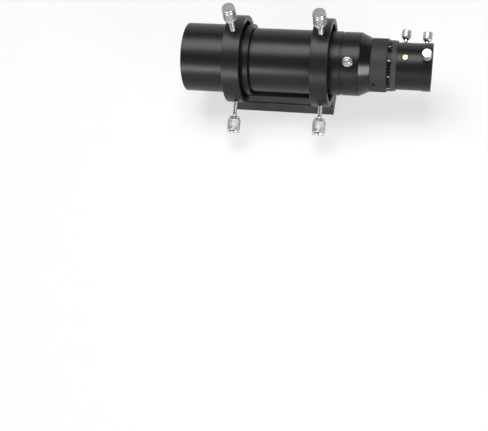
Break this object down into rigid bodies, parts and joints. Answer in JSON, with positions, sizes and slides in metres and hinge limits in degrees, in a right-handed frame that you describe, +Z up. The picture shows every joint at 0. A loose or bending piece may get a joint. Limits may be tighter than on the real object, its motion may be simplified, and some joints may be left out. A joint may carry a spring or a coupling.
{
  "type": "guide scope",
  "caption": "Small black refractor guide scope held by thumbscrews in two rings on a dovetail foot, with a draw tube, a helical focuser and a nosepiece holder at its rear.",
  "frame": {"origin": "middle of the flat underside of the dovetail foot", "axes": "+X along the optical axis to the rear, where the camera goes; +Z up, from the foot to the tube; -Y the side of the near screws"},
  "size_m": [0.2184, 0.1206, 0.122],
  "materials": {
    "black_anodised": "satin",
    "matt_black": "matte",
    "bright_nickel": "satin",
    "brass": "satin",
    "nylon": "matte",
    "coated_glass": "gloss"
  },
  "bodies": {
    "bracket": {"dovetail_bar": "black_anodised", "ring_front": "black_anodised", "ring_rear": "black_anodised", "ring_bolts": "bright_nickel"},
    "tube": {"front_housing": "black_anodised", "lens_ring": "matt_black", "crown_lens": "coated_glass", "lens_spacer": "matt_black", "flint_lens": "coated_glass", "lock_ring": "black_anodised", "main_tube": "black_anodised", "tube_baffle": "matt_black", "rear_sleeve": "black_anodised"},
    "draw": {"draw_tube": "black_anodised", "draw_stop": "matt_black", "neck_ring": "matt_black"},
    "focus": {"helicoid_nut": "matt_black", "focus_grip": "black_anodised", "scale_ring": "black_anodised", "grip_set_screw": "matt_black"},
    "holder": {"holder": "black_anodised", "clamp_ring": "brass", "key_screw": "brass"},
    "front_top_tip": {"front_top_tip": "nylon"},
    "front_top_screw": {"front_top_screw": "bright_nickel"},
    "front_near_tip": {"front_near_tip": "nylon"},
    "front_near_screw": {"front_near_screw": "bright_nickel"},
    "front_far_tip": {"front_far_tip": "nylon"},
    "front_far_screw": {"front_far_screw": "bright_nickel"},
    "rear_top_tip": {"rear_top_tip": "nylon"},
    "rear_top_screw": {"rear_top_screw": "bright_nickel"},
    "rear_near_tip": {"rear_near_tip": "nylon"},
    "rear_near_screw": {"rear_near_screw": "bright_nickel"},
    "rear_far_tip": {"rear_far_tip": "nylon"},
    "rear_far_screw": {"rear_far_screw": "bright_nickel"},
    "draw_lock_tip": {"draw_lock_tip": "nylon"},
    "draw_lock_screw": {"draw_lock_screw": "bright_nickel"},
    "focus_lock_tip": {"focus_lock_tip": "nylon"},
    "focus_lock_screw": {"focus_lock_screw": "bright_nickel"},
    "clamp_near_tip": {"clamp_near_tip": "brass"},
    "clamp_near_screw": {"clamp_near_screw": "bright_nickel"},
    "clamp_far_tip": {"clamp_far_tip": "brass"},
    "clamp_far_screw": {"clamp_far_screw": "bright_nickel"}
  },
  "joints": [
    {"name": "tube_slide", "type": "slide", "parent": "bracket", "child": "tube", "axis": [1, 0, 0], "range_m": [-0.006, 0.006]},
    {"name": "draw_slide", "type": "slide", "parent": "tube", "child": "draw", "axis": [1, 0, 0], "range_m": [0, 0.015]},
    {"name": "focus_turn", "type": "hinge", "parent": "draw", "child": "focus", "pos_m": [0.0809, 0, 0.0554], "axis": [1, 0, 0], "range_deg": [-288.1, 72.1]},
    {"name": "focus_travel", "type": "slide", "parent": "draw", "child": "holder", "axis": [1, 0, 0], "range_m": [-0.002, 0.008]},
    {"name": "front_top_travel", "type": "slide", "parent": "bracket", "child": "front_top_tip", "axis": [0, 0, 1], "range_m": [0, 0.004]},
    {"name": "front_top_turn", "type": "hinge", "parent": "front_top_tip", "child": "front_top_screw", "pos_m": [-0.0386, 0, 0.0554], "axis": [0, 0, 1], "range_deg": [0, 2058]},
    {"name": "front_near_travel", "type": "slide", "parent": "bracket", "child": "front_near_tip", "axis": [0, -0.866, -0.5], "range_m": [0, 0.004]},
    {"name": "front_near_turn", "type": "hinge", "parent": "front_near_tip", "child": "front_near_screw", "pos_m": [-0.0386, 0, 0.0554], "axis": [0, -0.866, -0.5], "range_deg": [0, 2058]},
    {"name": "front_far_travel", "type": "slide", "parent": "bracket", "child": "front_far_tip", "axis": [0, 0.866, -0.5], "range_m": [0, 0.004]},
    {"name": "front_far_turn", "type": "hinge", "parent": "front_far_tip", "child": "front_far_screw", "pos_m": [-0.0386, 0, 0.0554], "axis": [0, 0.866, -0.5], "range_deg": [0, 2058]},
    {"name": "rear_top_travel", "type": "slide", "parent": "bracket", "child": "rear_top_tip", "axis": [0, 0, 1], "range_m": [0, 0.004]},
    {"name": "rear_top_turn", "type": "hinge", "parent": "rear_top_tip", "child": "rear_top_screw", "pos_m": [0.0386, 0, 0.0554], "axis": [0, 0, 1], "range_deg": [0, 2058]},
    {"name": "rear_near_travel", "type": "slide", "parent": "bracket", "child": "rear_near_tip", "axis": [0, -0.866, -0.5], "range_m": [0, 0.004]},
    {"name": "rear_near_turn", "type": "hinge", "parent": "rear_near_tip", "child": "rear_near_screw", "pos_m": [0.0386, 0, 0.0554], "axis": [0, -0.866, -0.5], "range_deg": [0, 2058]},
    {"name": "rear_far_travel", "type": "slide", "parent": "bracket", "child": "rear_far_tip", "axis": [0, 0.866, -0.5], "range_m": [0, 0.004]},
    {"name": "rear_far_turn", "type": "hinge", "parent": "rear_far_tip", "child": "rear_far_screw", "pos_m": [0.0386, 0, 0.0554], "axis": [0, 0.866, -0.5], "range_deg": [0, 2058]},
    {"name": "draw_lock_travel", "type": "slide", "parent": "tube", "child": "draw_lock_tip", "axis": [0, -0.599, 0.8007], "range_m": [0, 0.0015]},
    {"name": "draw_lock_turn", "type": "hinge", "parent": "draw_lock_tip", "child": "draw_lock_screw", "pos_m": [0.0629, 0, 0.0554], "axis": [0, -0.599, 0.8007], "range_deg": [0, 1081]},
    {"name": "focus_lock_travel", "type": "slide", "parent": "holder", "child": "focus_lock_tip", "axis": [0, 0.9588, 0.284], "range_m": [0, 0.0015]},
    {"name": "focus_lock_turn", "type": "hinge", "parent": "focus_lock_tip", "child": "focus_lock_screw", "pos_m": [0.1088, 0, 0.0554], "axis": [0, 0.9588, 0.284], "range_deg": [0, 1081]},
    {"name": "clamp_near_travel", "type": "slide", "parent": "holder", "child": "clamp_near_tip", "axis": [0, -0.3007, 0.9537], "range_m": [0, 0.0015]},
    {"name": "clamp_near_turn", "type": "hinge", "parent": "clamp_near_tip", "child": "clamp_near_screw", "pos_m": [0.1285, 0, 0.0554], "axis": [0, -0.3007, 0.9537], "range_deg": [0, 1081]},
    {"name": "clamp_far_travel", "type": "slide", "parent": "holder", "child": "clamp_far_tip", "axis": [0, 0.9588, 0.284], "range_m": [0, 0.0015]},
    {"name": "clamp_far_turn", "type": "hinge", "parent": "clamp_far_tip", "child": "clamp_far_screw", "pos_m": [0.1272, 0, 0.0554], "axis": [0, 0.9588, 0.284], "range_deg": [0, 1081]}
  ],
  "couplings": [
    {"joint": "focus_turn", "follows": "focus_travel", "rad_per_m": -628.32},
    {"joint": "front_top_turn", "follows": "front_top_travel", "rad_per_m": 8976},
    {"joint": "front_near_turn", "follows": "front_near_travel", "rad_per_m": 8976},
    {"joint": "front_far_turn", "follows": "front_far_travel", "rad_per_m": 8976},
    {"joint": "rear_top_turn", "follows": "rear_top_travel", "rad_per_m": 8976},
    {"joint": "rear_near_turn", "follows": "rear_near_travel", "rad_per_m": 8976},
    {"joint": "rear_far_turn", "follows": "rear_far_travel", "rad_per_m": 8976},
    {"joint": "draw_lock_turn", "follows": "draw_lock_travel", "rad_per_m": 12566},
    {"joint": "focus_lock_turn", "follows": "focus_lock_travel", "rad_per_m": 12566},
    {"joint": "clamp_near_turn", "follows": "clamp_near_travel", "rad_per_m": 12566},
    {"joint": "clamp_far_turn", "follows": "clamp_far_travel", "rad_per_m": 12566}
  ]
}
